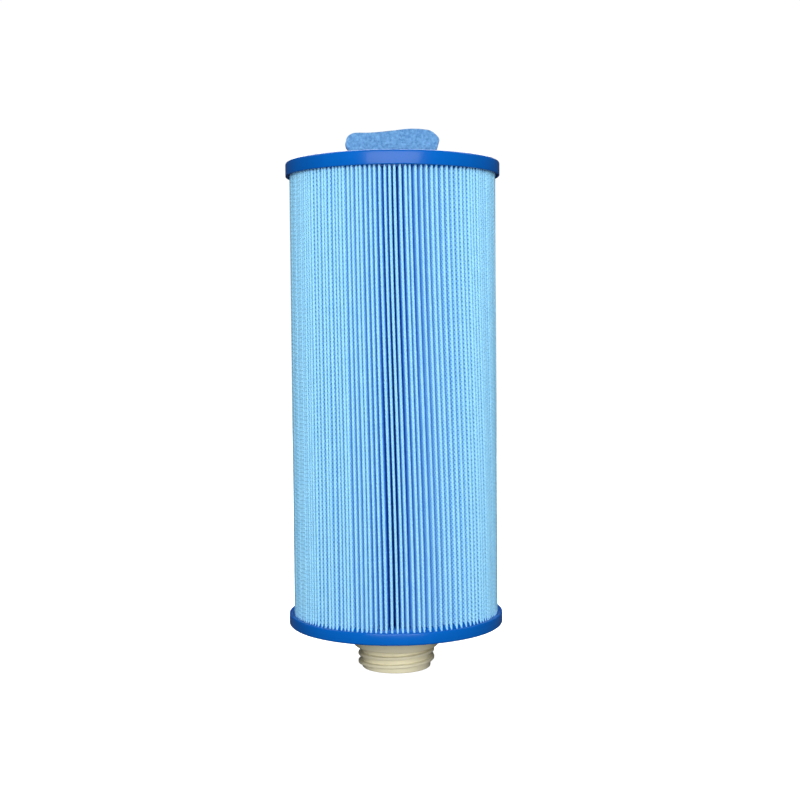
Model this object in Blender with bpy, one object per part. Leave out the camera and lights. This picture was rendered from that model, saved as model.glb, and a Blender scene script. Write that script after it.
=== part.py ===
"""Spa filter cartridge: a pleated polyester pack between two cast end caps, on a perforated core.

Metres, +Z up. The origin is the centre of the threaded spigot's free end, on the cartridge's axis,
and +Y is the side that carries the pack's seam.
"""
import math

import bmesh
import bpy
from mathutils import Matrix, Vector

# Whole body
BODY_LENGTH = 0.268          # underside of the bottom cap to the top face of the top cap
PACK_RADIUS = 0.0599         # over the pleats' outer folds
FIT = 0.0003                 # gap left between pieces that touch

# Cast end caps
TOP_RIM_WALL = 0.00175
TOP_RIM_HEIGHT = 0.0079
TOP_WEB = 0.0050             # thickness over the pleat ends, which also holds the handle's foot
BOTTOM_RIM_WALL = 0.0025
BOTTOM_RIM_HEIGHT = 0.0069
BOTTOM_WEB = 0.0035
CAP_EDGE_ROUND = 0.0012
CAP_SEGMENTS = 60

# Pleated pack
FABRIC = 0.00038
PLEAT_ROOT_PITCH = 0.0012    # pleat spacing where the folds sit on the core
PLEAT_TIP_WIDTH = 0.0012     # middle to middle of the two leaves at an outer fold
SEAM_BEAD = 0.0005           # thickness of the bead between the strip's two end leaves
SEAM_BEAD_DEPTH = 0.014
SEAM_BEAD_INSET = 0.006      # how far the bead lies inside the outer folds

# Perforated core, in two stacked sections
CORE_BORE_RADIUS = 0.0235
CORE_WALL = 0.0020
CORE_SEGMENTS = 24
CORE_LIP_LENGTH = 0.006      # lip of the upper section inside the lower one
CORE_LIP_WALL = 0.0015
CORE_END_BAND = 0.010        # plain band at each end of a section
WINDOW_COLUMNS = 12
WINDOW_WIDTH = 0.0064
WINDOW_HEIGHT = 0.011
WINDOW_PITCH = 0.016

# Threaded spigot
SPIGOT_DROP = 0.0264         # bottom cap's underside to the spigot's free end
SPIGOT_BORE_RADIUS = 0.0170
NECK_WALL = 0.0032
COLLAR_STEP = 0.00235        # how far the plain collar stands out past the thread's crest
COLLAR_DROP = 0.0153         # bottom cap's underside to the collar's shoulder
COLLAR_CHAMFER = 0.0010
FLANGE_REACH = 0.0032        # locking flange, cast into the bottom cap
FLANGE_THICKNESS = 0.0013
SLEEVE_LENGTH = 0.014        # sleeve that stands inside the core
SLEEVE_WALL = 0.0025
SPIGOT_SEGMENTS = 40

# Coarse right-hand thread
THREAD_PITCH = 0.0048
THREAD_HEIGHT = 0.00225
THREAD_ROOT_WIDTH = 0.0032
THREAD_CREST_WIDTH = 0.0016
THREAD_START = 0.0018        # middle of the ridge's start above the free end
THREAD_END = 0.0009          # middle of the ridge's end below the collar's shoulder
THREAD_START_ANGLE = 95.0    # degrees, anticlockwise from +X seen from above
THREAD_RUNOUT = 25.0         # degrees over which each end of the ridge sinks into the neck
THREAD_STEPS_PER_TURN = 30

# Handle
GRIP_WIDTH = 0.054
GRIP_HEIGHT = 0.0136
GRIP_THICKNESS = 0.009
GRIP_EDGE_ROUND = 0.0012
GRIP_LIFT = 0.0050           # space under the grip's two overhanging ends
STEM_WIDTH = 0.038
STEM_THICKNESS = 0.007
FOOT_REACH = 0.003           # foot plate round the stem, cast into the top cap
FOOT_HEIGHT = 0.0014
FOOT_COVER = 0.0018          # depth of the foot plate's upper side below the cap's top face

# Levels and radii that follow from the sizes above
UNDERSIDE = SPIGOT_DROP
TOP_FACE = UNDERSIDE + BODY_LENGTH
BOTTOM_CAP_RADIUS = PACK_RADIUS + FIT + BOTTOM_RIM_WALL
TOP_CAP_RADIUS = PACK_RADIUS + FIT + TOP_RIM_WALL
PACK_LOW = UNDERSIDE + BOTTOM_WEB + FIT
PACK_HIGH = TOP_FACE - TOP_WEB - FIT
CORE_RADIUS = CORE_BORE_RADIUS + CORE_WALL
CORE_JOINT = (PACK_LOW + PACK_HIGH) / 2
NECK_RADIUS = SPIGOT_BORE_RADIUS + NECK_WALL
CORE_FLAT_RADIUS = CORE_BORE_RADIUS * math.cos(math.pi / CORE_SEGMENTS)   # to the bore's facets
SLEEVE_RADIUS = CORE_FLAT_RADIUS - FIT
CREST_RADIUS = NECK_RADIUS + THREAD_HEIGHT
COLLAR_RADIUS = CREST_RADIUS + COLLAR_STEP
HUB_RADIUS = max(COLLAR_RADIUS, SLEEVE_RADIUS)
FLANGE_RADIUS = HUB_RADIUS + FLANGE_REACH
THREAD_TURNS = (SPIGOT_DROP - COLLAR_DROP - THREAD_START - THREAD_END) / THREAD_PITCH
FOOT_WIDTH = STEM_WIDTH + 2 * FOOT_REACH
FOOT_THICKNESS = STEM_THICKNESS + 2 * FOOT_REACH
FLANGE_LOW = UNDERSIDE + (BOTTOM_WEB - FLANGE_THICKNESS) / 2

POTTING_BLUE = (0.004, 0.10, 0.50, 1.0)
HANDLE_BLUE = (0.10, 0.25, 0.60, 1.0)
FABRIC_BLUE = (0.33, 0.66, 0.95, 1.0)
BEAD_CLEAR = (0.72, 0.72, 0.62, 1.0)
CORE_WHITE = (0.78, 0.79, 0.76, 1.0)
SPIGOT_CREAM = (0.66, 0.64, 0.46, 1.0)


def clear_scene():
    for item in list(bpy.data.objects):
        bpy.data.objects.remove(item, do_unlink=True)


def make_material(name, colour, roughness):
    material = bpy.data.materials.new(name)
    material.use_nodes = True
    shader = material.node_tree.nodes["Principled BSDF"]
    shader.inputs["Base Color"].default_value = colour
    shader.inputs["Roughness"].default_value = roughness
    shader.inputs["Metallic"].default_value = 0.0
    material.diffuse_color = colour
    return material


def add_object(name, bm, parent, material, location=(0, 0, 0), smooth_angle=30.0):
    bmesh.ops.recalc_face_normals(bm, faces=bm.faces)
    mesh = bpy.data.meshes.new(name)
    bm.to_mesh(mesh)
    bm.free()
    mesh.shade_smooth()
    mesh.set_sharp_from_angle(angle=math.radians(smooth_angle))
    if material:
        mesh.materials.append(material)
    item = bpy.data.objects.new(name, mesh)
    bpy.context.scene.collection.objects.link(item)
    item.location = location
    item.parent = parent
    return item


def add_helper(name, bm, parent, location=(0, 0, 0)):
    """An object that only shapes another one."""
    item = add_object(name, bm, parent, None, location)
    item.hide_render = True
    item.display_type = "WIRE"
    return item


def combine(item, helper, operation):
    modifier = item.modifiers.new(helper.name, "BOOLEAN")
    modifier.operation = operation
    modifier.solver = "EXACT"
    modifier.object = helper
    return modifier


def turned(outline, segments):
    """A closed outline of (radius, height) points, turned about Z."""
    bm = bmesh.new()
    verts = [bm.verts.new((radius, 0, height)) for radius, height in outline]
    edges = [bm.edges.new((verts[i], verts[(i + 1) % len(verts)])) for i in range(len(verts))]
    bmesh.ops.spin(bm, geom=verts + edges, cent=(0, 0, 0), axis=(0, 0, 1),
                   angle=math.tau, steps=segments, use_merge=True)
    bmesh.ops.remove_doubles(bm, verts=bm.verts, dist=1e-6)
    flat = [edge for edge in bm.edges if not edge.link_faces]
    bmesh.ops.delete(bm, geom=flat, context="EDGES")
    return bm


def round_edge(bm, radius, height, width):
    """Rounds the circular edge at one radius and height."""
    corner = Vector((radius, height))
    chosen = []
    for edge in bm.edges:
        places = [Vector((vert.co.xy.length, vert.co.z)) for vert in edge.verts]
        if all((place - corner).length < 1e-5 for place in places):
            chosen.append(edge)
    bmesh.ops.bevel(bm, geom=chosen, offset=width, segments=2, profile=0.5, affect="EDGES")


def add_box(bm, size, centre, turn=0.0):
    matrix = Matrix.Rotation(turn, 4, "Z") @ Matrix.Translation(centre) @ Matrix.Diagonal((*size, 1))
    bmesh.ops.create_cube(bm, size=1.0, matrix=matrix)


def box(size, centre):
    bm = bmesh.new()
    add_box(bm, size, centre)
    return bm


def build_bottom_cap(parent, material):
    hole = COLLAR_RADIUS + FIT
    hub_hole = HUB_RADIUS + FIT
    groove = FLANGE_RADIUS + FIT
    groove_low = FLANGE_LOW - UNDERSIDE - FIT
    groove_high = groove_low + FLANGE_THICKNESS + 2 * FIT
    pocket = PACK_RADIUS + FIT
    outline = [(hole, 0), (BOTTOM_CAP_RADIUS, 0), (BOTTOM_CAP_RADIUS, BOTTOM_RIM_HEIGHT),
               (pocket, BOTTOM_RIM_HEIGHT), (pocket, BOTTOM_WEB), (hub_hole, BOTTOM_WEB),
               (hub_hole, groove_high), (groove, groove_high), (groove, groove_low), (hole, groove_low)]
    bm = turned(outline, CAP_SEGMENTS)
    round_edge(bm, BOTTOM_CAP_RADIUS, 0, CAP_EDGE_ROUND)
    round_edge(bm, BOTTOM_CAP_RADIUS, BOTTOM_RIM_HEIGHT, min(CAP_EDGE_ROUND, BOTTOM_RIM_WALL / 2))
    return add_object("bottom_end_cap", bm, parent, material, (0, 0, UNDERSIDE))


def build_top_cap(parent, material):
    pocket = PACK_RADIUS + FIT
    outline = [(0, 0), (0, -TOP_WEB), (pocket, -TOP_WEB), (pocket, -TOP_RIM_HEIGHT),
               (TOP_CAP_RADIUS, -TOP_RIM_HEIGHT), (TOP_CAP_RADIUS, 0)]
    bm = turned(outline, CAP_SEGMENTS)
    round_edge(bm, TOP_CAP_RADIUS, 0, CAP_EDGE_ROUND)
    round_edge(bm, TOP_CAP_RADIUS, -TOP_RIM_HEIGHT, min(CAP_EDGE_ROUND, TOP_RIM_WALL / 2))
    cap = add_object("top_end_cap", bm, parent, material, (0, 0, TOP_FACE))
    foot_depth = FOOT_COVER + FOOT_HEIGHT
    slot = add_helper("stem_slot", box((STEM_WIDTH + 2 * FIT, STEM_THICKNESS + 2 * FIT, 2 * foot_depth),
                                       (0, 0, 0)), cap)
    seat = add_helper("foot_seat", box((FOOT_WIDTH + 2 * FIT, FOOT_THICKNESS + 2 * FIT,
                                        FOOT_HEIGHT + 2 * FIT),
                                       (0, 0, -FOOT_COVER - FOOT_HEIGHT / 2)), cap)
    combine(cap, slot, "DIFFERENCE")
    combine(cap, seat, "DIFFERENCE")
    return cap


def build_handle(parent, material):
    """A pill-shaped grip on a shorter stem, with a foot plate that the top cap is cast round."""
    radius = GRIP_HEIGHT / 2
    reach = GRIP_WIDTH / 2 - radius
    steps = 10
    bm = bmesh.new()
    ring = []
    for side in (1, -1):
        for step in range(steps + 1):
            angle = math.pi * (step / steps - 0.5)
            x = side * (reach + radius * math.cos(angle))
            z = side * radius * math.sin(angle)
            ring.append(bm.verts.new((x, -GRIP_THICKNESS / 2, z)))
    face = bm.faces.new(ring)
    grown = bmesh.ops.extrude_face_region(bm, geom=[face])["geom"]
    moved = [item for item in grown if isinstance(item, bmesh.types.BMVert)]
    bmesh.ops.translate(bm, verts=moved, vec=(0, GRIP_THICKNESS, 0))
    rims = [edge for edge in bm.edges if abs(edge.verts[0].co.y - edge.verts[1].co.y) < 1e-6]
    bmesh.ops.bevel(bm, geom=rims, offset=GRIP_EDGE_ROUND, segments=2, profile=0.5, affect="EDGES")
    middle = TOP_FACE + GRIP_LIFT + radius
    grip = add_object("handle", bm, parent, material, (0, 0, middle))
    stem_low = TOP_FACE - FOOT_COVER - FOOT_HEIGHT / 2
    stem_high = TOP_FACE + GRIP_LIFT + radius / 2
    stem = add_helper("handle_stem", box((STEM_WIDTH, STEM_THICKNESS, stem_high - stem_low),
                                         (0, 0, (stem_low + stem_high) / 2 - middle)), grip)
    foot = add_helper("handle_foot", box((FOOT_WIDTH, FOOT_THICKNESS, FOOT_HEIGHT),
                                         (0, 0, stem_low - middle)), grip)
    combine(grip, stem, "UNION")
    combine(grip, foot, "UNION")
    return grip


def pleat_root_radius():
    return CORE_RADIUS + FIT + FABRIC / 2


def seam_half_gap():
    """Half the distance between the middles of the strip's two end leaves."""
    return SEAM_BEAD / 2 + FIT + FABRIC / 2


def pleat_section():
    """The strip's middle line seen from above, from one end leaf round to the other."""
    root = pleat_root_radius()
    tip = PACK_RADIUS - FABRIC / 2
    count = math.floor(math.tau * root / PLEAT_ROOT_PITCH)
    pitch = math.tau / count
    tip_turn = PLEAT_TIP_WIDTH / 2 / tip
    bead_low = PACK_RADIUS - SEAM_BEAD_INSET - SEAM_BEAD_DEPTH
    points = []

    def polar(radius, angle):
        points.append(Vector((-radius * math.sin(angle), radius * math.cos(angle), 0)))

    # the first end leaf stands beside the bead, square to the pack's back
    half = seam_half_gap()
    points.append(Vector((-half, tip, 0)))
    points.append(Vector((-half, bead_low, 0)))
    polar(root, pitch / 4)
    polar(root, 3 * pitch / 4)
    for index in range(1, count):
        middle = index * pitch
        polar(tip, middle - tip_turn)
        polar(tip, middle + tip_turn)
        polar(root, middle + pitch / 4)
        if index < count - 1:
            polar(root, middle + 3 * pitch / 4)
    polar(root, math.tau - pitch / 4)
    points.append(Vector((half, bead_low, 0)))
    points.append(Vector((half, tip, 0)))
    return points


def build_pleats(parent, material):
    points = pleat_section()
    bm = bmesh.new()
    verts = [bm.verts.new(point) for point in points]
    edges = [bm.edges.new(pair) for pair in zip(verts, verts[1:])]
    grown = bmesh.ops.extrude_edge_only(bm, edges=edges)["geom"]
    moved = [item for item in grown if isinstance(item, bmesh.types.BMVert)]
    bmesh.ops.translate(bm, verts=moved, vec=(0, 0, PACK_HIGH - PACK_LOW))
    pack = add_object("pleat_pack", bm, parent, material, (0, 0, PACK_LOW))
    wall = pack.modifiers.new("fabric", "SOLIDIFY")
    wall.thickness = FABRIC
    wall.offset = 0.0
    wall.use_even_offset = True
    wall.use_rim = True
    return pack


def build_seam_bead(parent, material):
    high = PACK_RADIUS - SEAM_BEAD_INSET
    middle = high - SEAM_BEAD_DEPTH / 2
    size = (SEAM_BEAD, SEAM_BEAD_DEPTH, PACK_HIGH - PACK_LOW)
    return add_object("seam_bead", box(size, (0, middle, 0)), parent, material,
                      (0, 0, (PACK_LOW + PACK_HIGH) / 2))


def window_cutter(low, high):
    """Radial bars, row over row, for the windows between two levels."""
    bm = bmesh.new()
    rows = math.floor((high - low - WINDOW_HEIGHT) / WINDOW_PITCH) + 1
    first = (low + high - (rows - 1) * WINDOW_PITCH) / 2
    inner = CORE_BORE_RADIUS - CORE_LIP_WALL - FIT - CORE_WALL
    outer = CORE_RADIUS + CORE_WALL
    half_facet = math.pi / CORE_SEGMENTS
    for row in range(rows):
        for column in range(WINDOW_COLUMNS):
            centre = ((inner + outer) / 2, 0, first + row * WINDOW_PITCH)
            size = (outer - inner, WINDOW_WIDTH, WINDOW_HEIGHT)
            add_box(bm, size, centre, half_facet + column * math.tau / WINDOW_COLUMNS)
    return bm


def build_core(parent, material):
    """Two stacked sections: the upper one's lip stands inside the lower one's end."""
    joint_low = CORE_JOINT - FIT / 2
    joint_high = CORE_JOINT + FIT / 2
    lip_radius = CORE_FLAT_RADIUS - FIT
    lip_bore = lip_radius - CORE_LIP_WALL
    lip_low = joint_high - CORE_LIP_LENGTH
    lip_root = joint_high + CORE_LIP_WALL
    lower = [(CORE_BORE_RADIUS, PACK_LOW), (CORE_RADIUS, PACK_LOW),
             (CORE_RADIUS, joint_low), (CORE_BORE_RADIUS, joint_low)]
    upper = [(lip_bore, lip_low), (lip_radius, lip_low), (lip_radius, joint_high),
             (CORE_RADIUS, joint_high), (CORE_RADIUS, PACK_HIGH), (CORE_BORE_RADIUS, PACK_HIGH),
             (CORE_BORE_RADIUS, lip_root), (lip_bore, lip_root)]
    spans = {"core_lower": (lower, PACK_LOW, joint_low), "core_upper": (upper, joint_high, PACK_HIGH)}
    for name, (outline, low, high) in spans.items():
        section = add_object(name, turned(outline, CORE_SEGMENTS), parent, material)
        cutter = window_cutter(low + CORE_END_BAND, high - CORE_END_BAND)
        combine(section, add_helper(name + "_windows", cutter, section), "DIFFERENCE")


def thread_ridge():
    """A trapezoid ridge that climbs anticlockwise; its ends sink into the neck."""
    buried = NECK_RADIUS - NECK_WALL / 3
    low_top = NECK_RADIUS - NECK_WALL / 6
    steps = round(THREAD_TURNS * THREAD_STEPS_PER_TURN)
    bm = bmesh.new()
    last = None
    for step in range(steps + 1):
        turn = THREAD_TURNS * 360.0 * step / steps
        from_end = min(turn, THREAD_TURNS * 360.0 - turn)
        share = min(1.0, from_end / THREAD_RUNOUT)
        top = low_top + share * (CREST_RADIUS - low_top)
        angle = math.radians(THREAD_START_ANGLE + turn)
        height = THREAD_START + THREAD_PITCH * turn / 360.0
        spread = (THREAD_ROOT_WIDTH - THREAD_CREST_WIDTH) * (top - buried) / THREAD_HEIGHT
        widths = ((buried, THREAD_CREST_WIDTH + spread), (top, THREAD_CREST_WIDTH))
        corners = ((widths[0], -0.5), (widths[1], -0.5), (widths[1], 0.5), (widths[0], 0.5))
        loop = [bm.verts.new((radius * math.cos(angle), radius * math.sin(angle), height + side * width))
                for (radius, width), side in corners]
        if last:
            for index in range(4):
                after = (index + 1) % 4
                bm.faces.new((last[index], last[after], loop[after], loop[index]))
        else:
            bm.faces.new(loop)
        last = loop
    bm.faces.new(last[::-1])
    return bm


def build_spigot(parent, material):
    web_top = UNDERSIDE + BOTTOM_WEB
    shoulder = UNDERSIDE - COLLAR_DROP
    sleeve_bore = SLEEVE_RADIUS - SLEEVE_WALL
    sleeve_high = web_top + SLEEVE_LENGTH
    tip_chamfer = NECK_WALL / 6
    outline = [(SPIGOT_BORE_RADIUS, 0), (NECK_RADIUS - tip_chamfer, 0), (NECK_RADIUS, tip_chamfer),
               (NECK_RADIUS, shoulder), (COLLAR_RADIUS - COLLAR_CHAMFER, shoulder),
               (COLLAR_RADIUS, shoulder + COLLAR_CHAMFER), (COLLAR_RADIUS, FLANGE_LOW),
               (FLANGE_RADIUS, FLANGE_LOW), (FLANGE_RADIUS, FLANGE_LOW + FLANGE_THICKNESS),
               (HUB_RADIUS, FLANGE_LOW + FLANGE_THICKNESS), (HUB_RADIUS, web_top),
               (SLEEVE_RADIUS, web_top), (SLEEVE_RADIUS, sleeve_high), (sleeve_bore, sleeve_high),
               (sleeve_bore, web_top), (SPIGOT_BORE_RADIUS, web_top - SLEEVE_WALL)]
    spigot = add_object("threaded_spigot", turned(outline, SPIGOT_SEGMENTS), parent, material)
    combine(spigot, add_helper("thread_ridge", thread_ridge(), spigot), "UNION")
    return spigot


def build():
    clear_scene()
    root = bpy.data.objects.new("cartridge", None)
    bpy.context.scene.collection.objects.link(root)
    potting = make_material("blue_potting", POTTING_BLUE, 0.35)
    build_bottom_cap(root, potting)
    build_top_cap(root, potting.copy())
    build_handle(root, make_material("frosted_blue", HANDLE_BLUE, 0.6))
    build_pleats(root, make_material("blue_fabric", FABRIC_BLUE, 0.85))
    build_seam_bead(root, make_material("clear_bead", BEAD_CLEAR, 0.4))
    build_core(root, make_material("white_core", CORE_WHITE, 0.5))
    build_spigot(root, make_material("cream_plastic", SPIGOT_CREAM, 0.4))


build()
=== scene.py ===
import math
import random
import bpy
from mathutils import Matrix, Vector


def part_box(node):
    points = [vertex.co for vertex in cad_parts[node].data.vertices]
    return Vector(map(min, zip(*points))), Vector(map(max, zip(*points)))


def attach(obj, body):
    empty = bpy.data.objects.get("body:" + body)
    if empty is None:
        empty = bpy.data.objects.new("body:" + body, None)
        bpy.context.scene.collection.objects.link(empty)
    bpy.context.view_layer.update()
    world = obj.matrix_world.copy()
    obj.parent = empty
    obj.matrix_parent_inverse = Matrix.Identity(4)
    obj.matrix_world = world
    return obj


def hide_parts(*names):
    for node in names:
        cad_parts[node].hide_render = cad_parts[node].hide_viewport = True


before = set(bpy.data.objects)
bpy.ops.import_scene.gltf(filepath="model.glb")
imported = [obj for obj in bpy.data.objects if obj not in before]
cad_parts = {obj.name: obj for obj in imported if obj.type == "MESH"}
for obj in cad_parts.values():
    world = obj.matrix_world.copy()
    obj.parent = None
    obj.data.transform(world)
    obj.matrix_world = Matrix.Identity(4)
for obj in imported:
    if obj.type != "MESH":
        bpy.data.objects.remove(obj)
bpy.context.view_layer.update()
print("stage 1: frame loaded")

bottomLow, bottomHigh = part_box("bottom_end_cap")
topLow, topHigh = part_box("top_end_cap")
packLow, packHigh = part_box("pleat_pack")
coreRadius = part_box("core_upper")[1].y
packRadius = packHigh.x
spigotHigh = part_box("threaded_spigot")[1]
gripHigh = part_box("handle")[1]
beadLow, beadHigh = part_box("seam_bead")


cameraView = {
    "place": (0.0, -0.7662, 0.1983),
    "lens": 58.95,
    "down": 3.08,   # degrees below level
    "right": 0.25,  # degrees towards +X
    "roll": -0.46,
}


def makeCamera(s):
    data = bpy.data.cameras.new("camera")
    data.lens = s["lens"]
    data.sensor_width = 36.0
    camera = bpy.data.objects.new("camera", data)
    bpy.context.scene.collection.objects.link(camera)
    turn = Matrix.Rotation(math.radians(-s["right"]), 4, "Z")
    tip = Matrix.Rotation(math.radians(90.0 - s["down"]), 4, "X")
    roll = Matrix.Rotation(math.radians(s["roll"]), 4, "Z")
    camera.matrix_world = Matrix.Translation(s["place"]) @ turn @ tip @ roll
    bpy.context.scene.camera = camera


def deselectAll():
    if bpy.context.object and bpy.context.object.mode != "OBJECT":
        bpy.ops.object.mode_set(mode="OBJECT")
    bpy.ops.object.select_all(action="DESELECT")


def makeActive(piece):
    deselectAll()
    piece.select_set(True)
    bpy.context.view_layer.objects.active = piece


def pickFaces(piece, test):  # leaves edit mode on, with the faces that pass selected
    makeActive(piece)
    bpy.ops.object.mode_set(mode="EDIT")
    bpy.ops.mesh.select_mode(type="FACE")
    bpy.ops.mesh.select_all(action="DESELECT")
    bpy.ops.object.mode_set(mode="OBJECT")
    for face in piece.data.polygons:
        face.select = test(face.center, face.normal)
    bpy.ops.object.mode_set(mode="EDIT")


def pickEdges(piece, test):  # the same for edges, tested by their two ends
    makeActive(piece)
    bpy.ops.object.mode_set(mode="EDIT")
    bpy.ops.mesh.select_mode(type="EDGE")
    bpy.ops.mesh.select_all(action="DESELECT")
    bpy.ops.object.mode_set(mode="OBJECT")
    points = [vert.co for vert in piece.data.vertices]
    for edge in piece.data.edges:
        start, end = (points[index] for index in edge.vertices)
        edge.select = test(start, end)
    bpy.ops.object.mode_set(mode="EDIT")


def toObject():
    bpy.ops.object.mode_set(mode="OBJECT")


def applyAll(piece):
    makeActive(piece)
    for modifier in list(piece.modifiers):
        bpy.ops.object.modifier_apply(modifier=modifier.name)


def settle(piece):  # place, turn and scale go into the mesh
    makeActive(piece)
    bpy.ops.object.transform_apply(location=True, rotation=True, scale=True)


def fixNormals(piece):
    makeActive(piece)
    bpy.ops.object.mode_set(mode="EDIT")
    bpy.ops.mesh.select_all(action="SELECT")
    bpy.ops.mesh.remove_doubles(threshold=1e-6)
    bpy.ops.mesh.normals_make_consistent(inside=False)
    toObject()


def smooth(piece, angle):
    makeActive(piece)
    bpy.ops.object.shade_smooth_by_angle(angle=math.radians(angle))


def addCylinder(name, radius, low, high, around):
    deselectAll()
    bpy.ops.mesh.primitive_cylinder_add(vertices=around, radius=radius, depth=high - low,
                                        location=(0, 0, (low + high) / 2), end_fill_type="NGON")
    piece = bpy.context.object
    piece.name = name
    settle(piece)
    return piece


def addBox(name, size, centre):
    deselectAll()
    bpy.ops.mesh.primitive_cube_add(size=1, location=centre)
    piece = bpy.context.object
    piece.name = name
    piece.scale = size
    settle(piece)
    return piece


def growEnd(piece, upward, steps):  # extrudes a round end face through (radius, height) steps
    ends = [vert.co.z for vert in piece.data.vertices]
    level = max(ends) if upward else min(ends)
    radius = max(vert.co.xy.length for vert in piece.data.vertices if abs(vert.co.z - level) < 1e-6)
    pickFaces(piece, lambda centre, normal: abs(centre.z - level) < 1e-6 and abs(normal.z) > 0.9)
    for nextRadius, nextLevel in steps:
        ratio = nextRadius / radius
        bpy.ops.mesh.extrude_region_move()
        bpy.ops.transform.resize(value=(ratio, ratio, 1))
        bpy.ops.transform.translate(value=(0, 0, nextLevel - level))
        radius, level = nextRadius, nextLevel
    bpy.ops.mesh.delete(type="ONLY_FACE")
    toObject()


def closeEnd(piece):  # fills every open loop with a face
    makeActive(piece)
    bpy.ops.object.mode_set(mode="EDIT")
    bpy.ops.mesh.select_mode(type="EDGE")
    bpy.ops.mesh.select_all(action="DESELECT")
    bpy.ops.mesh.select_non_manifold(extend=False, use_wire=False, use_multi_face=False,
                                     use_non_contiguous=False, use_verts=False)
    bpy.ops.mesh.edge_face_add()
    toObject()


def bridgeBore(piece):  # joins the two open loops into a wall
    makeActive(piece)
    bpy.ops.object.mode_set(mode="EDIT")
    bpy.ops.mesh.select_mode(type="EDGE")
    bpy.ops.mesh.select_all(action="DESELECT")
    bpy.ops.mesh.select_non_manifold(extend=False, use_wire=False, use_multi_face=False,
                                     use_non_contiguous=False, use_verts=False)
    bpy.ops.mesh.bridge_edge_loops()
    toObject()


def roundRing(piece, radius, level, width, segments=3):
    def onRing(co):
        return abs(co.xy.length - radius) < 2e-5 and abs(co.z - level) < 2e-5

    pickEdges(piece, lambda start, end: onRing(start) and onRing(end))
    bpy.ops.mesh.bevel(offset=width, segments=segments, profile=0.5, affect="EDGES")
    toObject()


def unite(piece, other):
    modifier = piece.modifiers.new("union", "BOOLEAN")
    modifier.operation = "UNION"
    modifier.solver = "EXACT"
    modifier.object = other
    applyAll(piece)
    bpy.data.objects.remove(other)


def mix(a, b, share):
    return a + (b - a) * share


def ease(value):
    value = min(1.0, max(0.0, value))
    return value * value * (3.0 - 2.0 * value)


def bell(angle, centre, width):
    return math.exp(-((angle - centre) / width) ** 2)


def polar(radius, angle, height):  # angle in degrees from -Y, towards +X
    turn = math.radians(angle)
    return Vector((radius * math.sin(turn), -radius * math.cos(turn), height))


def newGroup(name, inputs, outputs):
    tree = bpy.data.node_groups.new(name, "ShaderNodeTree")
    for label, kind, value in inputs:
        socket = tree.interface.new_socket(name=label, in_out="INPUT", socket_type=kind)
        if value is not None:
            socket.default_value = value
    for label, kind in outputs:
        tree.interface.new_socket(name=label, in_out="OUTPUT", socket_type=kind)
    return tree, tree.nodes.new("NodeGroupInput"), tree.nodes.new("NodeGroupOutput")


def addNode(tree, kind, settings=None, **inputs):  # inputs are values or output sockets
    node = tree.nodes.new(kind)
    for key, value in (settings or {}).items():
        setattr(node, key, value)
    for key, value in inputs.items():
        index = int(key[1:]) if key[0] == "i" and key[1:].isdigit() else key.replace("_", " ")
        if isinstance(value, bpy.types.NodeSocket):
            tree.links.new(value, node.inputs[index])
        else:
            node.inputs[index].default_value = value
    return node


def mathNode(tree, operation, first, second=0.0, third=0.0):
    node = addNode(tree, "ShaderNodeMath", {"operation": operation}, i0=first, i1=second, i2=third)
    return node.outputs[0]


def mixColour(tree, share, first, second):
    node = tree.nodes.new("ShaderNodeMix")
    node.data_type = "RGBA"
    for index, value in ((0, share), (6, first), (7, second)):
        if isinstance(value, bpy.types.NodeSocket):
            tree.links.new(value, node.inputs[index])
        else:
            node.inputs[index].default_value = value
    return node.outputs[2]


skinShape = {"fineDetail": 3.0, "slowDetail": 4.0, "slowRough": 0.55, "wave": 1.6, "tones": (0.3, 0.7)}


def buildGrain(s):  # fine moulded or cast skin, with slow drifts of tone
    tree, start, end = newGroup("skinGrain",
                                [("Vector", "NodeSocketVector", None), ("Fine", "NodeSocketFloat", 900.0),
                                 ("Slow", "NodeSocketFloat", 30.0), ("Roughness", "NodeSocketFloat", 0.6)],
                                [("Height", "NodeSocketFloat"), ("Tone", "NodeSocketFloat")])
    fine = addNode(tree, "ShaderNodeTexNoise", Vector=start.outputs["Vector"], Scale=start.outputs["Fine"],
                   Detail=s["fineDetail"], Roughness=start.outputs["Roughness"])
    slow = addNode(tree, "ShaderNodeTexNoise", Vector=start.outputs["Vector"], Scale=start.outputs["Slow"],
                   Detail=s["slowDetail"], Roughness=s["slowRough"])
    wave = mathNode(tree, "MULTIPLY", slow.outputs[0], s["wave"])
    height = mathNode(tree, "ADD", fine.outputs[0], wave)
    tone = addNode(tree, "ShaderNodeMapRange", Value=slow.outputs[0], From_Min=s["tones"][0],
                   From_Max=s["tones"][1])
    tree.links.new(height, end.inputs["Height"])
    tree.links.new(tone.outputs[0], end.inputs["Tone"])
    return tree


dotShape = {"drift": 700.0, "flatten": (1.0, 1.25, 0.0), "inner": 0.55}


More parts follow.
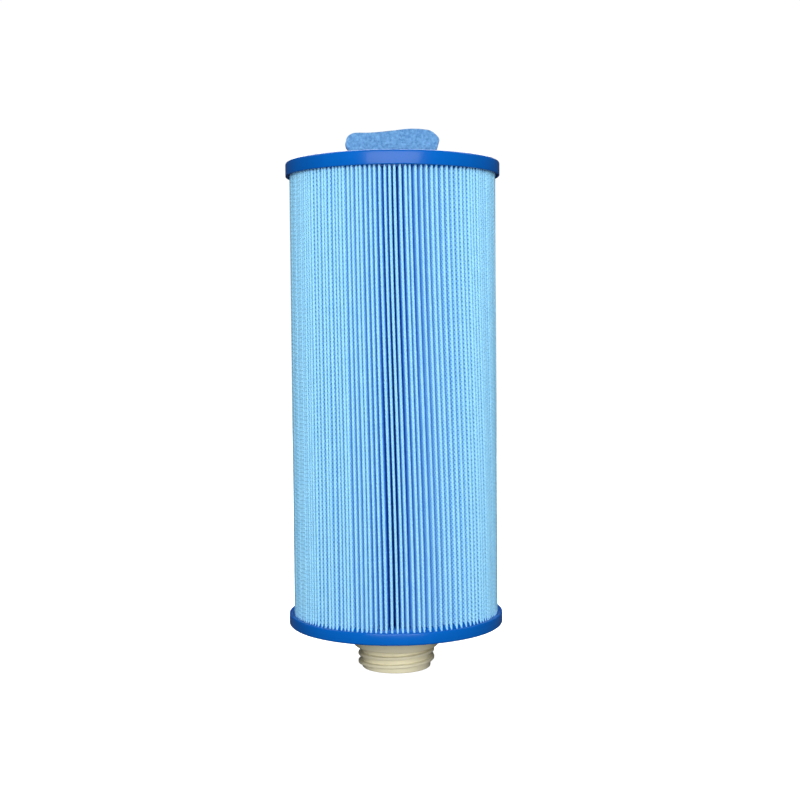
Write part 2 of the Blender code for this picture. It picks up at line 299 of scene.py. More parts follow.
def buildBond(s):  # staggered rows of small fused dots on the cloth's own coordinates, in metres
    tree, start, end = newGroup("pointBond",
                                [("Vector", "NodeSocketVector", None), ("Pitch", "NodeSocketFloat", 0.0022),
                                 ("Dot", "NodeSocketFloat", 0.3), ("Wander", "NodeSocketFloat", 0.1)],
                                [("Mask", "NodeSocketFloat"), ("Height", "NodeSocketFloat")])
    per = mathNode(tree, "DIVIDE", 1.0, start.outputs["Pitch"])
    drift = addNode(tree, "ShaderNodeTexNoise", Vector=start.outputs["Vector"], Scale=s["drift"],
                    Detail=1.0)
    centred = addNode(tree, "ShaderNodeVectorMath", {"operation": "SUBTRACT"}, i0=drift.outputs[1],
                      i1=(0.5, 0.5, 0.5))
    shifted = addNode(tree, "ShaderNodeVectorMath", {"operation": "SCALE"}, i0=centred.outputs[0])
    tree.links.new(start.outputs["Wander"], shifted.inputs["Scale"])
    cells = addNode(tree, "ShaderNodeVectorMath", {"operation": "SCALE"}, i0=start.outputs["Vector"])
    tree.links.new(per, cells.inputs["Scale"])
    moved = addNode(tree, "ShaderNodeVectorMath", {"operation": "ADD"}, i0=cells.outputs[0],
                    i1=shifted.outputs[0])
    nearest = None
    for offset in ((0.0, 0.0, 0.0), (0.5, 0.5, 0.0)):
        step = addNode(tree, "ShaderNodeVectorMath", {"operation": "ADD"}, i0=moved.outputs[0], i1=offset)
        part = addNode(tree, "ShaderNodeVectorMath", {"operation": "FRACTION"}, i0=step.outputs[0])
        middle = addNode(tree, "ShaderNodeVectorMath", {"operation": "SUBTRACT"}, i0=part.outputs[0],
                         i1=(0.5, 0.5, 0.0))
        flat = addNode(tree, "ShaderNodeVectorMath", {"operation": "MULTIPLY"}, i0=middle.outputs[0],
                       i1=s["flatten"])
        length = addNode(tree, "ShaderNodeVectorMath", {"operation": "LENGTH"}, i0=flat.outputs[0])
        reach = length.outputs["Value"]
        nearest = reach if nearest is None else mathNode(tree, "MINIMUM", nearest, reach)
    inner = mathNode(tree, "MULTIPLY", start.outputs["Dot"], s["inner"])
    mask = addNode(tree, "ShaderNodeMapRange", {"interpolation_type": "SMOOTHSTEP"}, Value=nearest,
                   From_Min=inner, From_Max=start.outputs["Dot"], To_Min=1.0, To_Max=0.0)
    height = mathNode(tree, "SUBTRACT", 1.0, mask.outputs[0])
    tree.links.new(mask.outputs[0], end.inputs["Mask"])
    tree.links.new(height, end.inputs["Height"])
    return tree


def newMaterial(name):
    material = bpy.data.materials.new(name)
    material.use_nodes = True
    tree = material.node_tree
    return material, tree, tree.nodes["Principled BSDF"]


def useGroup(tree, group, **inputs):
    node = tree.nodes.new("ShaderNodeGroup")
    node.node_tree = group
    for key, value in inputs.items():
        if isinstance(value, bpy.types.NodeSocket):
            tree.links.new(value, node.inputs[key])
        else:
            node.inputs[key].default_value = value
    return node


def bumpInto(tree, shader, height, strength, distance):
    bump = addNode(tree, "ShaderNodeBump", Height=height, Strength=strength, Distance=distance)
    tree.links.new(bump.outputs[0], shader.inputs["Normal"])


def solidMaterial(name, grain, s):  # cast, moulded and glued finishes
    material, tree, shader = newMaterial(name)
    where = tree.nodes.new("ShaderNodeTexCoord")
    skin = useGroup(tree, grain, Vector=where.outputs["Object"], Fine=s["fine"], Slow=s["slow"],
                    Roughness=s["grainRough"])
    tone = mixColour(tree, skin.outputs["Tone"], (*s["deep"], 1), (*s["light"], 1))
    tree.links.new(tone, shader.inputs["Base Color"])
    rough = addNode(tree, "ShaderNodeMapRange", Value=skin.outputs["Tone"], To_Min=s["rough"][0],
                    To_Max=s["rough"][1])
    tree.links.new(rough.outputs[0], shader.inputs["Roughness"])
    shader.inputs["Specular IOR Level"].default_value = s["specular"]
    bumpInto(tree, shader, skin.outputs["Height"], s["bump"], s["depth"])
    return material


def clothMaterial(grain, bond, s):
    material, tree, shader = newMaterial("pleatCloth")
    cloth = addNode(tree, "ShaderNodeUVMap", {"uv_map": "cloth"})
    dots = useGroup(tree, bond, Vector=cloth.outputs[0], Pitch=s["pitch"], Dot=s["dot"], Wander=s["wander"])
    fibre = useGroup(tree, grain, Vector=cloth.outputs[0], Fine=s["fine"], Slow=s["slow"],
                     Roughness=s["grainRough"])
    body = mixColour(tree, fibre.outputs["Tone"], (*s["deep"], 1), (*s["light"], 1))
    depth = addNode(tree, "ShaderNodeAttribute", {"attribute_name": "depth"})
    shown = addNode(tree, "ShaderNodeMapRange", Value=depth.outputs["Fac"], From_Max=s["dotFrom"],
                    To_Min=s["dotTip"], To_Max=s["dotTint"])  # the dots show less towards the fold tips
    share = mathNode(tree, "MULTIPLY", dots.outputs["Mask"], shown.outputs[0])
    inked = mixColour(tree, share, body, (*s["dotColour"], 1))
    # painted shade: the colour turns to a darker, deeper blue towards the core, for the shade and blue
    # bounce light deep between the folds
    inner = addNode(tree, "ShaderNodeMapRange", Value=depth.outputs["Fac"], From_Max=s["paintedShadeFrom"],
                    To_Max=s["paintedShadeShare"]).outputs[0]
    shaded = mixColour(tree, inner, inked, (*s["inner"], 1))
    tree.links.new(shaded, shader.inputs["Base Color"])
    rough = addNode(tree, "ShaderNodeMapRange", Value=dots.outputs["Mask"], To_Min=s["rough"][0],
                    To_Max=s["rough"][1])
    tree.links.new(rough.outputs[0], shader.inputs["Roughness"])
    shader.inputs["Specular IOR Level"].default_value = s["specular"]
    paintedGapGlow = tree.nodes.new("ShaderNodeValToRGB")  # painted glow: emission by depth, standing in for the light that comes through and bounces between the folds
    tree.links.new(depth.outputs["Fac"], paintedGapGlow.inputs[0])
    stops = paintedGapGlow.color_ramp.elements
    for index, (place, colour) in enumerate(s["paintedGapGlow"]):
        stop = stops[index] if index < 2 else stops.new(place)
        stop.position = place
        stop.color = (*colour, 1)
    tree.links.new(paintedGapGlow.outputs[0], shader.inputs["Emission Color"])
    shader.inputs["Emission Strength"].default_value = 1.0
    fuzz = mathNode(tree, "MULTIPLY", fibre.outputs["Height"], s["fuzz"])
    height = mathNode(tree, "ADD", dots.outputs["Height"], fuzz)
    bumpInto(tree, shader, height, s["bump"], s["depth"])
    return material


finishes = {
    "castBlue": {"deep": (0.0008, 0.099, 0.43), "light": (0.0012, 0.111, 0.48), "rough": (0.20, 0.23),
                 "specular": 0.17, "fine": 700.0, "slow": 45.0, "grainRough": 0.5, "bump": 0.25,
                 "depth": 0.00025},
    # painted light: the handle is the caps' cast blue, painted paler for the softbox light on its flat
    # face, with a matte finish
    "paintedLitHandleBlue": {"deep": (0.085, 0.27, 0.61), "light": (0.25, 0.56, 0.92), "rough": (0.55, 0.80),
                    "specular": 0.35, "fine": 2400.0, "slow": 800.0, "grainRough": 0.8, "bump": 1.0,
                    "depth": 0.0009},
    "creamPlastic": {"deep": (0.77, 0.72, 0.51), "light": (0.83, 0.78, 0.57), "rough": (0.20, 0.26),
                     "specular": 0.45, "fine": 500.0, "slow": 60.0, "grainRough": 0.5, "bump": 0.12,
                     "depth": 0.0002},
    "whiteCore": {"deep": (0.70, 0.72, 0.70), "light": (0.78, 0.79, 0.76), "rough": (0.42, 0.55),
                  "specular": 0.4, "fine": 600.0, "slow": 50.0, "grainRough": 0.5, "bump": 0.2,
                  "depth": 0.0002},
    "milkyBead": {"deep": (0.62, 0.60, 0.48), "light": (0.74, 0.72, 0.60), "rough": (0.28, 0.45),
                  "specular": 0.5, "fine": 400.0, "slow": 160.0, "grainRough": 0.5, "bump": 0.5,
                  "depth": 0.0004},
}

clothFinish = {
    "pitch": 0.0023, "dot": 0.36, "wander": 0.05, "fine": 2600.0, "slow": 120.0,
    "grainRough": 0.7,
    "deep": (0.29, 0.65, 0.93), "light": (0.355, 0.73, 0.98),
    "dotTint": 1.0, "dotTip": 0.16, "dotFrom": 0.010, "dotColour": (0.09, 0.35, 0.70),
    # inner is painted shade: the darker blue that the cloth turns towards the core
    "inner": (0.045, 0.27, 0.84), "paintedShadeShare": 1.0, "paintedShadeFrom": 0.22,
    # painted glow: emission colours by depth that light the gaps between the folds
    "paintedGapGlow": [(0.0, (0, 0, 0)), (0.08, (0.004, 0.020, 0.045)), (0.25, (0.002, 0.016, 0.045)),
               (0.42, (0, 0.008, 0.030)), (0.75, (0, 0.002, 0.014)), (1.0, (0, 0.001, 0.010))],
    "rough": (0.88, 0.6), "specular": 0.2, "fuzz": 0.25, "bump": 1.0, "depth": 0.0002,
}

makeCamera(cameraView)
grainGroup = buildGrain(skinShape)
bondGroup = buildBond(dotShape)
made = {name: solidMaterial(name, grainGroup, s) for name, s in finishes.items()}
made["pleatCloth"] = clothMaterial(grainGroup, bondGroup, clothFinish)
print("stage 2: camera and materials")


# the pleated cloth is one strip, folded round the core and joined at the back
pleatPack = {
    "pleats": 136,
    "cloth": 0.00042,       # thickness
    "foldWidth": 0.00112,   # between a fold's two leaves, at its outer edge
    "pinch": 0.16,          # share of that width left where the potting grips a fold
    "pinchReach": 0.0045,
    "shy": 0.0005,          # most that a fold falls short of the pack's radius
    "uneven": 0.20,         # random change in the spacing of the folds
    "open": 0.16,           # extra spacing to the right of the front
    "openAt": (32, 30),     # its middle and reach, in degrees
    "close": 0.10,          # less spacing to the left of it
    "closeAt": (-30, 30),
    "gap": -0.3,            # degrees: where one looks straight in between two folds
    "lean": 6.0,            # degrees that a fold drifts from bottom to top
    "leanChange": 5.0,      # how much that differs round the pack
    "leanFrom": 10.0,
    "leanEase": 0.6,        # how far the lean slows towards both ends
    "rootLean": 0.6,        # share of it that the folds on the core have
    "widths": (0.85, 1.12),
    "sway": 0.16,
    "swayTurns": (0.7, 1.6),
    "phases": 6.3,
    "bow": 0.35,            # degrees that a leaf bows at its waist
    "waist": 0.62,          # share of the way out from the core
    "roundSteps": 4,
    "rows": 24,
    "nearEnds": (0.0, 0.0012, 0.0026, 0.0045),  # closer rows where the potting grips the folds
    "rootClear": 0.0005,    # cloth's middle line to the core
    "endShort": 0.0012,     # how far the strip's raw ends fall short of the folds
    "seamHalf": 0.00076,    # half the distance between the two end leaves
    "skew": 0.0117,         # the bond pattern runs slightly off the folds
    "seed": 11,
}


def plotFolds(s):  # each fold's place at mid height and its own small differences
    rng = random.Random(s["seed"])
    pitch = 360.0 / s["pleats"]
    folds = []
    half = s["pleats"] // 2
    for side in (-1, 1):  # outwards from the front, so that the seam stays at the back
        spaces = []
        for index in range(half):
            angle = side * (index + 0.5) * pitch
            space = 1.0 + s["open"] * bell(angle, *s["openAt"]) - s["close"] * bell(angle, *s["closeAt"])
            spaces.append(space * (1.0 + s["uneven"] * rng.uniform(-1, 1)))
        unit = 180.0 / sum(spaces)
        reach = -0.5 * spaces[0]
        for index in range(half):
            reach += spaces[index]
            folds.append({"tip": s["gap"] + side * reach * unit,
                          "root": s["gap"] + side * (index + 0.5) * pitch,
                          "shy": rng.uniform(0, s["shy"]), "width": rng.uniform(*s["widths"]),
                          "sway": rng.uniform(-1, 1) * s["sway"], "phase": rng.uniform(0, s["phases"]),
                          "turns": rng.uniform(*s["swayTurns"]), "bow": rng.uniform(-1, 1) * s["bow"]})
    folds.sort(key=lambda fold: fold["root"])
    return folds


def drift(s, angle, share):  # share is 0 at the bottom and 1 at the top
    lean = s["lean"] + s["leanChange"] * math.sin(math.radians(angle - s["leanFrom"]))
    return lean * (0.5 - mix(share, ease(share), s["leanEase"]))


def foldPlace(s, fold, share):  # the fold's outer and inner angles at one height
    sway = fold["sway"] * math.sin(fold["phase"] + fold["turns"] * math.tau * share)
    moved = drift(s, fold["tip"], share)
    return fold["tip"] + moved + sway, fold["root"] + moved * s["rootLean"]


def foldSection(s, fold, share, height):  # (radius, angle, depth) points, the depth 1 at the core
    root = coreRadius + s["rootClear"]
    fromEnd = min(height - packLow.z, packHigh.z - height)
    grip = mix(s["pinch"], 1.0, ease(fromEnd / s["pinchReach"]))
    half = s["foldWidth"] / 2 * fold["width"] * grip
    tip = packRadius - s["cloth"] / 2 - fold["shy"]
    outer, inner = foldPlace(s, fold, share)
    quarter = 90.0 / s["pleats"]
    waist = s["waist"]
    middle = mix(root, tip, waist)
    across = math.degrees(mix(root * math.radians(quarter), half, waist) / middle)
    bowed = mix(inner, outer, waist) + fold["bow"]
    points = [(root, inner - quarter, 1.0), (middle, bowed - across, 1.0 - waist)]
    for step in range(s["roundSteps"] + 1):
        turn = math.pi * (step / s["roundSteps"] - 0.5)
        reach = tip - half + half * math.cos(turn)
        points.append((reach, outer + math.degrees(half * math.sin(turn) / tip), 0.0))
    points.append((middle, bowed + across, 1.0 - waist))
    points.append((root, inner + quarter, 1.0))
    return points


def stripSection(s, folds, share, height):
    root = coreRadius + s["rootClear"]
    end = packRadius - s["cloth"] / 2 - s["endShort"]
    waist = s["waist"]
    moved = drift(s, 180.0, share)
    quarter = 90.0 / s["pleats"]
    points = []
    edge = [(end, moved, 0.0),
            (mix(root, end, waist), mix(moved * s["rootLean"], moved, waist), 1.0 - waist)]
    for radius, turn, depth in edge:
        points.append((radius, -180.0 + turn + math.degrees(s["seamHalf"] / radius), depth))
    points.append((root, -180.0 + moved * s["rootLean"] + quarter, 1.0))
    for fold in folds:
        points.extend(foldSection(s, fold, share, height))
    points.append((root, 180.0 + moved * s["rootLean"] - quarter, 1.0))
    for radius, turn, depth in edge[::-1]:
        points.append((radius, 180.0 + turn - math.degrees(s["seamHalf"] / radius), depth))
    return points


def packLevels(s):
    near = list(s["nearEnds"])
    high = packHigh.z - packLow.z
    inner = [mix(near[-1], high - near[-1], (step + 1) / (s["rows"] + 1)) for step in range(s["rows"])]
    return [packLow.z + level for level in near + inner + [high - level for level in near[::-1]]]


def buildPack(s, folds):
    levels = packLevels(s)
    points, depths = [], []
    for height in levels:
        share = (height - packLow.z) / (packHigh.z - packLow.z)
        row = stripSection(s, folds, share, height)
        points.extend(polar(radius, angle, height) for radius, angle, _ in row)
        depths.extend(depth for _, _, depth in row)
    wide = len(points) // len(levels)
    faces = []
    for row in range(len(levels) - 1):
        for column in range(wide - 1):
            first = row * wide + column
            faces.append((first, first + 1, first + wide + 1, first + wide))
    mesh = bpy.data.meshes.new("pleated_cloth")
    mesh.from_pydata(points, [], faces)
    middleRow = len(levels) // 2 * wide
    along = [0.0]
    for column in range(1, wide):
        step = points[middleRow + column] - points[middleRow + column - 1]
        along.append(along[-1] + step.length)
    layer = mesh.uv_layers.new(name="cloth")
    for loop in mesh.loops:
        vert = loop.vertex_index
        layer.data[loop.index].uv = (along[vert % wide], points[vert].z + s["skew"] * along[vert % wide])
    inside = mesh.attributes.new("depth", "FLOAT", "POINT")
    for index, depth in enumerate(depths):
        inside.data[index].value = depth
    piece = bpy.data.objects.new("pleated_cloth", mesh)
    bpy.context.scene.collection.objects.link(piece)
    wall = piece.modifiers.new("cloth", "SOLIDIFY")
    wall.thickness = s["cloth"]
    wall.offset = 0.0
    applyAll(piece)
    makeActive(piece)
    bpy.ops.object.shade_smooth()
    piece.data.materials.append(made["pleatCloth"])
    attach(piece, "root")
    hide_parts("pleat_pack")
    print("   strip length", round(along[-1], 3), "m")
    return piece


folds = plotFolds(pleatPack)
pack = buildPack(pleatPack, folds)
print("stage 3: pleated cloth", len(pack.data.polygons), "faces")


# adhesive bead between the strip's ends
seamBead = {"thickness": 0.0006, "cuts": 40, "edge": 0.00012, "smooth": 40}


def buildBead(s):
    outer, inner = beadHigh.y, beadLow.y
    bead = addBox("seam_adhesive", (s["thickness"], outer - inner, beadHigh.z - beadLow.z),
                  (0, (outer + inner) / 2, (beadHigh.z + beadLow.z) / 2))
    pickEdges(bead, lambda start, end: True)
    bpy.ops.mesh.bevel(offset=s["edge"], segments=2, affect="EDGES")
    toObject()
    for cut in range(1, s["cuts"]):
        pickFaces(bead, lambda centre, normal: True)
        bpy.ops.mesh.bisect(plane_co=(0, 0, mix(beadLow.z, beadHigh.z, cut / s["cuts"])),
                            plane_no=(0, 0, 1))
        toObject()
    for vert in bead.data.vertices:  # the bead follows the lean of the two leaves
        share = (vert.co.z - beadLow.z) / (beadHigh.z - beadLow.z)
        moved = drift(pleatPack, 180.0, share)
        depth = (vert.co.y - coreRadius) / (packRadius - coreRadius)
        turn = math.radians(mix(moved * pleatPack["rootLean"], moved, depth))
        vert.co = Matrix.Rotation(turn, 3, "Z") @ vert.co
    smooth(bead, s["smooth"])
    bead.data.materials.append(made["milkyBead"])
    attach(bead, "root")
    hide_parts("seam_bead")


buildBead(seamBead)
print("stage 4: seam adhesive")


# cast end caps, with potting that has crept up between the folds
endCaps = {
    "around": 192, "smooth": 35,
    "lip": 0.0011,          # raised edge left round the pool of potting
    "topLip": 0.0009,
    "pool": 0.0007,         # how far the pool lies below the rim
    "poolShare": 0.8,       # share of that depth away from the rim
    "poolInset": 0.001, "topPoolInset": 0.002,
    "centre": 0.002,        # radius of the top cap's last, flat face
    "edge": 0.0012, "rimEdge": 0.0007, "lipEdge": 0.00025, "topLowEdge": 0.0005,
    "hub": 0.02478,         # bore that the spigot's collar fills
    "hubMouth": 0.0012, "hubChamfer": 0.0005,
    "wickHigh": 0.0036, "wickWide": 0.0024, "wickLong": 0.008, "wickShy": 0.0005,
    "wickSunk": 0.001,      # part of a wedge that lies inside the cap
    "wickTip": (0.12, 0.9, 1), "wickEdge": 0.0001,
    "wickSpare": 1.12,      # a gap's width over that of its wedge
    "wickWidest": 1.3,
    "wickTall": (0.5, 0.32, 0.14),  # everywhere, more at the front, random
    "wickFront": (16, 28),
    "topWick": 0.55,        # share of that height at the top
}


def buildWicks(s, folds, level, share, upward, tall):  # one wedge, copied into every gap
    wick = addBox("wick", (s["wickWide"], s["wickLong"], tall + s["wickSunk"]),
                  (0, 0, upward * (tall - s["wickSunk"]) / 2))
    pickFaces(wick, lambda centre, normal: normal.z * upward > 0.9)
    bpy.ops.transform.resize(value=s["wickTip"])
    toObject()
    pickEdges(wick, lambda start, end: min(start.z * upward, end.z * upward) > tall * 0.9)
    bpy.ops.mesh.bevel(offset=s["wickEdge"], segments=1, affect="EDGES")
    toObject()
    always, front, chance = s["wickTall"]
    copies = []
    for left, right in zip(folds, folds[1:]):
        start, end = foldPlace(pleatPack, left, share)[0], foldPlace(pleatPack, right, share)[0]
        angle = (start + end) / 2
        wide = min(s["wickWidest"],
                   math.radians(end - start) * packRadius / (s["wickWide"] * s["wickSpare"]))
        copy = wick.copy()
        copy.data = wick.data.copy()
        bpy.context.scene.collection.objects.link(copy)
        tallness = always + front * bell(angle, *s["wickFront"]) + chance * math.sin(5 * left["phase"])
        fitted = Matrix.Diagonal((wide, 1, tallness, 1))
        place = Matrix.Translation((0, -(packRadius - s["wickShy"] - s["wickLong"] / 2), level))
        copy.data.transform(Matrix.Rotation(math.radians(angle), 4, "Z") @ place @ fitted)
        copies.append(copy)
    bpy.data.objects.remove(wick)
    deselectAll()
    for copy in copies:
        copy.select_set(True)
    bpy.context.view_layer.objects.active = copies[0]
    bpy.ops.object.join()
    return bpy.context.object


def buildBottomCap(s, folds):
    radius = bottomHigh.x
    low, high = bottomLow.z, bottomHigh.z
    cap = addCylinder("bottom_cap", radius, low, high, s["around"])
    pool = high - s["pool"] * s["poolShare"]
    growEnd(cap, True, [(radius - s["lip"], high), (radius - s["lip"] - s["pool"], high - s["pool"]),
                        (packRadius - s["poolInset"], pool), (s["hub"], pool)])
    growEnd(cap, False, [(s["hub"] + s["hubMouth"], low), (s["hub"], low + s["hubChamfer"])])
    bridgeBore(cap)
    fixNormals(cap)
    roundRing(cap, radius, low, s["edge"], 4)
    roundRing(cap, radius, high, s["rimEdge"], 3)
    roundRing(cap, radius - s["lip"], high, s["lipEdge"], 2)
    wicks = buildWicks(s, folds, high - s["pool"], 0.01, 1, s["wickHigh"])
    unite(cap, wicks)
    finishCap(s, cap, "bottom_end_cap")


def buildTopCap(s, folds):
    radius = topHigh.x
    low, high = topLow.z, topHigh.z
    cap = addCylinder("top_cap", radius, low, high, s["around"])
    pool = low + s["pool"] * s["poolShare"]
    growEnd(cap, False, [(radius - s["topLip"], low), (radius - s["topLip"] - s["pool"], low + s["pool"]),
                         (packRadius - s["topPoolInset"], pool), (s["centre"], pool)])
    closeEnd(cap)
    fixNormals(cap)
    roundRing(cap, radius, high, s["edge"], 4)
    roundRing(cap, radius, low, s["topLowEdge"], 3)
    wicks = buildWicks(s, folds, low + s["pool"], 0.99, -1, s["wickHigh"] * s["topWick"])
    unite(cap, wicks)
    finishCap(s, cap, "top_end_cap")


def finishCap(s, cap, node):
    smooth(cap, s["smooth"])
    cap.data.materials.clear()
    cap.data.materials.append(made["castBlue"])
    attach(cap, "root")
    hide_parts(node)


buildBottomCap(endCaps, folds)
buildTopCap(endCaps, folds)
print("stage 5: end caps")


# the handle is a pill-shaped grip on a stem, with a foot plate inside the cap
grip = {
    "width": 0.054, "height": 0.0136, "thick": 0.009,
    "stemWidth": 0.038, "stemThick": 0.007,
    "footReach": 0.003, "footHigh": 0.0014, "footCover": 0.0018,
    "endSteps": 12, "endFlat": 0.0001,  # of the grip's round ends
    "edge": 0.0011, "edgeSteps": 3, "edgeAngle": 60, "voxel": 0.00045,
    "skin": (("fine", 0.0009, 0.00008), ("coarse", 0.005, 0.0002)),  # name, grain and height
    "rise": 0.0013,         # how much higher the grip is at its right than in the middle
    "riseAt": (0.42, 0.38),
    "drop": 0.0008,         # how much lower it is at its left
    "dropFrom": (0.2, 1.4),
    "lower": 0.0004,
    "wave": 0.0003, "waveTurn": 900.0, "waveStart": 1.0,
    "bend": 0.004,          # height over which the unevenness comes in, above the cap
    "topReach": 0.006,      # depth of the top that rises and drops
}


def buildGrip(s):
    high = gripHigh.z
    body = addBox("grip_handle", (s["width"], s["thick"], s["height"]), (0, 0, high - s["height"] / 2))
    halfWidth = s["width"] / 2
    pickEdges(body, lambda start, end: abs(start.y - end.y) > s["thick"] / 2)  # from front to back
    bpy.ops.mesh.bevel(offset=s["height"] / 2 - s["endFlat"], segments=s["endSteps"], affect="EDGES")
    toObject()
    pickFaces(body, lambda centre, normal: normal.z < -0.99 and centre.z < high - s["height"] + 1e-4)
    flatWide = s["width"] - s["height"]
    bpy.ops.mesh.extrude_region_move()
    bpy.ops.transform.resize(value=(s["stemWidth"] / flatWide, s["stemThick"] / s["thick"], 1))
    stemLow = topHigh.z - s["footCover"]
    bpy.ops.mesh.extrude_region_move()
    bpy.ops.transform.translate(value=(0, 0, stemLow - (high - s["height"])))
    wide = (s["stemWidth"] + 2 * s["footReach"]) / s["stemWidth"]
    deep = (s["stemThick"] + 2 * s["footReach"]) / s["stemThick"]
    bpy.ops.mesh.extrude_region_move()
    bpy.ops.transform.resize(value=(wide, deep, 1))
    bpy.ops.mesh.extrude_region_move()
    bpy.ops.transform.translate(value=(0, 0, -s["footHigh"]))
    toObject()
    fixNormals(body)
    edges = body.modifiers.new("edges", "BEVEL")
    edges.width = s["edge"]
    edges.segments = s["edgeSteps"]
    edges.limit_method = "ANGLE"
    edges.angle_limit = math.radians(s["edgeAngle"])
    fine = body.modifiers.new("fine", "REMESH")
    fine.mode = "VOXEL"
    fine.voxel_size = s["voxel"]
    applyAll(body)
    for vert in body.data.vertices:  # the top edge rises to the right and drops to the left
        above = ease((vert.co.z - topHigh.z - s["bend"]) / s["bend"])
        atTop = ease((vert.co.z - high + s["topReach"]) / s["topReach"])
        side = vert.co.x / halfWidth
        left = ease(s["dropFrom"][0] - side * s["dropFrom"][1])
        lift = s["rise"] * bell(side, *s["riseAt"]) - s["drop"] * left - s["lower"]
        vert.co.z += above * atTop * lift
        vert.co.x += above * s["wave"] * math.sin(vert.co.z * s["waveTurn"] + s["waveStart"])
    for name, size, strength in s["skin"]:
        clouds = bpy.data.textures.new(name, "CLOUDS")
        clouds.noise_scale = size
        push = body.modifiers.new(name, "DISPLACE")
        push.texture = clouds
        push.texture_coords = "LOCAL"
        push.strength = strength
        push.mid_level = 0.5
    applyAll(body)
    makeActive(body)
    bpy.ops.object.shade_smooth()
    body.data.materials.clear()
    body.data.materials.append(made["paintedLitHandleBlue"])
    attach(body, "root")
    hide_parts("handle")


buildGrip(grip)
print("stage 6: handle")


# the spigot has a sleeve inside the core, a flange cast into the cap, a collar and a coarse thread
spigot = {
    "around": 128, "smooth": 38,
    "bore": 0.0170, "neck": 0.0202, "collar": 0.0248, "flange": 0.0280, "sleeve": 0.0230,  # radii
    "sleeveWall": 0.0025,
    "shoulder": 0.0130,     # the collar's lower end above the free end
    "flangeLow": 0.0011, "flangeHigh": 0.0024, "sleeveLow": 0.0035,  # above the cap's underside
    "collarEdge": 0.0005, "rootEdge": 0.0004, "endEdge": 0.0006, "boreEdge": 0.0004,
    "pitch": 0.0048, "turns": 1.92, "stepsPerTurn": 72,
    "ridgeHigh": 0.00225, "ridgeDeep": 0.0012, "ridgeWide": 0.0025,
    "crestWide": 0.0015, "crestRound": 0.00015,
    "slice": 0.0002,        # thickness of the piece that the ridge is turned from
    "start": 0.0020, "startAngle": 95.0,
    "runOut": 0.05, "runOutRadius": 0.86,  # each end's share of the ridge, and how far it sinks
}


def buildRidge(s):  # a section with a flat crest, turned about the axis as it climbs
    ridge = addBox("ridge", (s["ridgeDeep"] + s["ridgeHigh"], s["slice"], s["ridgeWide"]),
                   (s["neck"] + (s["ridgeHigh"] - s["ridgeDeep"]) / 2, s["slice"] / 2, s["start"]))
    pickFaces(ridge, lambda centre, normal: normal.x > 0.9)
    bpy.ops.transform.resize(value=(1, 1, s["crestWide"] / s["ridgeWide"]))
    toObject()
    crest = s["neck"] + s["ridgeHigh"] - 1e-5
    pickEdges(ridge, lambda start, end: min(start.x, end.x) > crest and abs(start.y - end.y) > 1e-5)
    bpy.ops.mesh.bevel(offset=s["crestRound"], segments=3, affect="EDGES")
    toObject()
    pickFaces(ridge, lambda centre, normal: centre.y > 1e-6)
    bpy.ops.mesh.delete(type="FACE")
    toObject()
    makeActive(ridge)
    ridge.rotation_euler = (0, 0, math.radians(s["startAngle"]))
    settle(ridge)
    turn = ridge.modifiers.new("climb", "SCREW")
    turn.angle = s["turns"] * math.tau
    turn.screw_offset = s["turns"] * s["pitch"]
    turn.steps = turn.render_steps = int(s["turns"] * s["stepsPerTurn"])
    turn.use_merge_vertices = False
    applyAll(ridge)
    for vert in ridge.data.vertices:  # both ends sink into the neck
        angle = math.degrees(math.atan2(vert.co.y, vert.co.x))
        around = (angle - s["startAngle"]) / 360.0
        climbed = (vert.co.z - s["start"]) / s["pitch"]
        along = (around + round(climbed - around)) / s["turns"]
        keep = mix(s["runOutRadius"], 1.0, ease(min(along, 1.0 - along) / s["runOut"]))
        vert.co.x, vert.co.y = vert.co.x * keep, vert.co.y * keep
    closeEnd(ridge)
    fixNormals(ridge)
    return ridge


def buildSpigot(s):
    flangeLow, flangeHigh = bottomLow.z + s["flangeLow"], bottomLow.z + s["flangeHigh"]
    sleeveLow = bottomLow.z + s["sleeveLow"]
    sleeveBore = s["sleeve"] - s["sleeveWall"]
    body = addCylinder("threaded_fitting", s["collar"], s["shoulder"], flangeLow, s["around"])
    growEnd(body, True, [(s["flange"], flangeLow), (s["flange"], flangeHigh),
                         (s["collar"], flangeHigh), (s["collar"], sleeveLow),
                         (s["sleeve"], sleeveLow), (s["sleeve"], spigotHigh.z),
                         (sleeveBore, spigotHigh.z), (sleeveBore, sleeveLow),
                         (s["bore"], sleeveLow - s["sleeveWall"])])
    growEnd(body, False, [(s["neck"], s["shoulder"]), (s["neck"], 0.0), (s["bore"], 0.0)])
    bridgeBore(body)
    fixNormals(body)
    roundRing(body, s["collar"], s["shoulder"], s["collarEdge"], 3)
    roundRing(body, s["neck"], s["shoulder"], s["rootEdge"], 3)
    roundRing(body, s["neck"], 0.0, s["endEdge"], 3)
    roundRing(body, s["bore"], 0.0, s["boreEdge"], 2)
    unite(body, buildRidge(s))
    smooth(body, s["smooth"])
    body.data.materials.clear()
    body.data.materials.append(made["creamPlastic"])
    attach(body, "root")
    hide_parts("threaded_spigot")


buildSpigot(spigot)
for name in ("core_lower", "core_upper"):
    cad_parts[name].data.materials.clear()
    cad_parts[name].data.materials.append(made["whiteCore"])
print("stage 7: spigot and core")


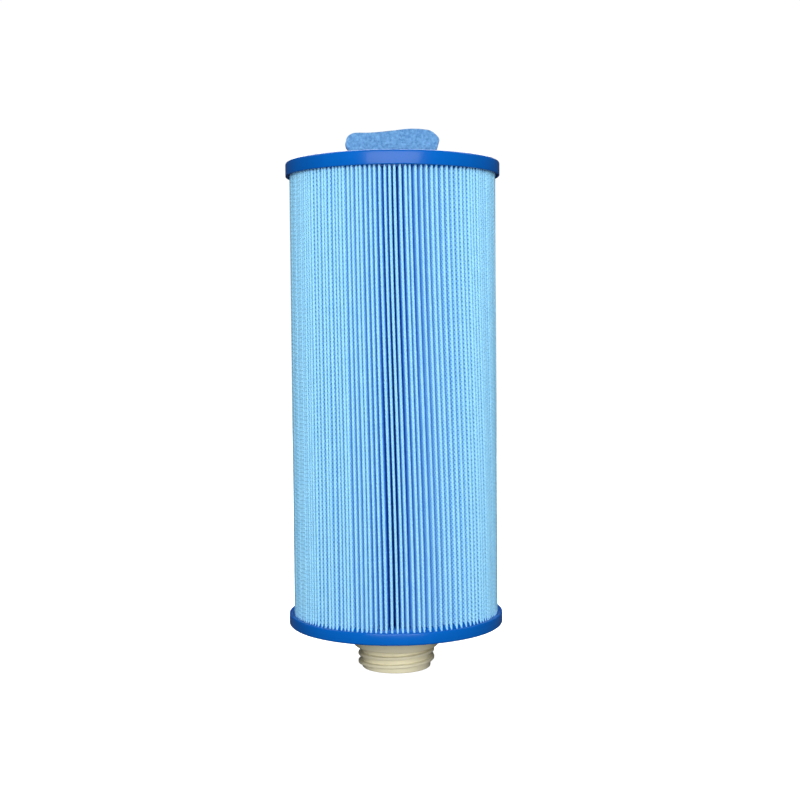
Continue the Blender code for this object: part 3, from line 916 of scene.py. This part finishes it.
# floor and light
studio = {
    "floorWide": 12.0,
    "floorLevel": -0.0006,  # just under the spigot's end, so that the two never share a face
    "floorTones": ((0.80, 0.81, 0.82), (0.83, 0.83, 0.83)), "floorRough": 0.8,
    "floorGrain": {"Fine": 80.0, "Slow": 2.0, "Roughness": 0.5},
    "floorSeen": 1.0, "floorGiven": 0.07,  # bright to look at, dim as a source of light
    "skySeen": 1.02, "skyGiven": 0.06,
    "aim": 0.16,            # height that the boxes point at
    "boxes": [  # name, azimuth, height, distance, width, tall, power
        ("frontBox", 1.0, 0.41, 1.15, 1.20, 0.72, 19.3),
        ("backBox", 180.0, 1.05, 1.05, 1.10, 0.60, 17.0),
        ("leftBox", -105.0, 1.15, 1.00, 0.80, 0.60, 4.0),
        ("rightBox", 105.0, 1.15, 1.00, 0.80, 0.60, 4.0),
        ("topBox", 10.0, 1.40, 0.5, 0.9, 0.9, 2.5),
    ],
}


def buildFloor(s):
    deselectAll()
    bpy.ops.mesh.primitive_circle_add(vertices=64, radius=s["floorWide"], fill_type="NGON",
                                      location=(0, 0, s["floorLevel"]))
    floor = bpy.context.object
    floor.name = "floor"
    material, tree, shader = newMaterial("paleFloor")
    where = tree.nodes.new("ShaderNodeTexCoord")
    skin = useGroup(tree, grainGroup, Vector=where.outputs["Object"], **s["floorGrain"])
    low, high = s["floorTones"]
    tone = mixColour(tree, skin.outputs["Tone"], (*low, 1), (*high, 1))
    seen = tree.nodes.new("ShaderNodeLightPath").outputs["Is Camera Ray"]
    dim = mixColour(tree, seen, (s["floorGiven"],) * 3 + (1,), tone)
    tree.links.new(dim, shader.inputs["Base Color"])
    shader.inputs["Roughness"].default_value = s["floorRough"]
    shader.inputs["Specular IOR Level"].default_value = 0.0
    shader.inputs["Emission Color"].default_value = (1, 1, 1, 1)
    glow = mathNode(tree, "MULTIPLY", seen, s["floorSeen"])
    tree.links.new(glow, shader.inputs["Emission Strength"])
    floor.data.materials.append(material)


def buildSky(s):
    world = bpy.data.worlds.new("studio")
    bpy.context.scene.world = world
    world.use_nodes = True
    sky = world.node_tree
    back = sky.nodes["Background"]
    back.inputs["Color"].default_value = (1, 1, 1, 1)
    path = sky.nodes.new("ShaderNodeLightPath")
    strength = addNode(sky, "ShaderNodeMapRange", Value=path.outputs["Is Camera Ray"],
                       To_Min=s["skyGiven"], To_Max=s["skySeen"])
    sky.links.new(strength.outputs[0], back.inputs["Strength"])


def buildBoxes(s):
    for name, azimuth, height, distance, wide, tall, power in s["boxes"]:
        data = bpy.data.lights.new(name, "AREA")
        data.shape = "RECTANGLE"
        data.size = wide
        data.size_y = tall
        data.energy = power
        light = bpy.data.objects.new(name, data)
        bpy.context.scene.collection.objects.link(light)
        light.visible_camera = False
        place = polar(distance, azimuth, height)
        turn = (Vector((0, 0, s["aim"])) - place).to_track_quat("-Z", "Y")
        light.matrix_world = Matrix.Translation(place) @ turn.to_matrix().to_4x4()


buildFloor(studio)
buildSky(studio)
buildBoxes(studio)
bpy.context.scene.view_settings.view_transform = "Standard"
print("stage 8: floor and light")
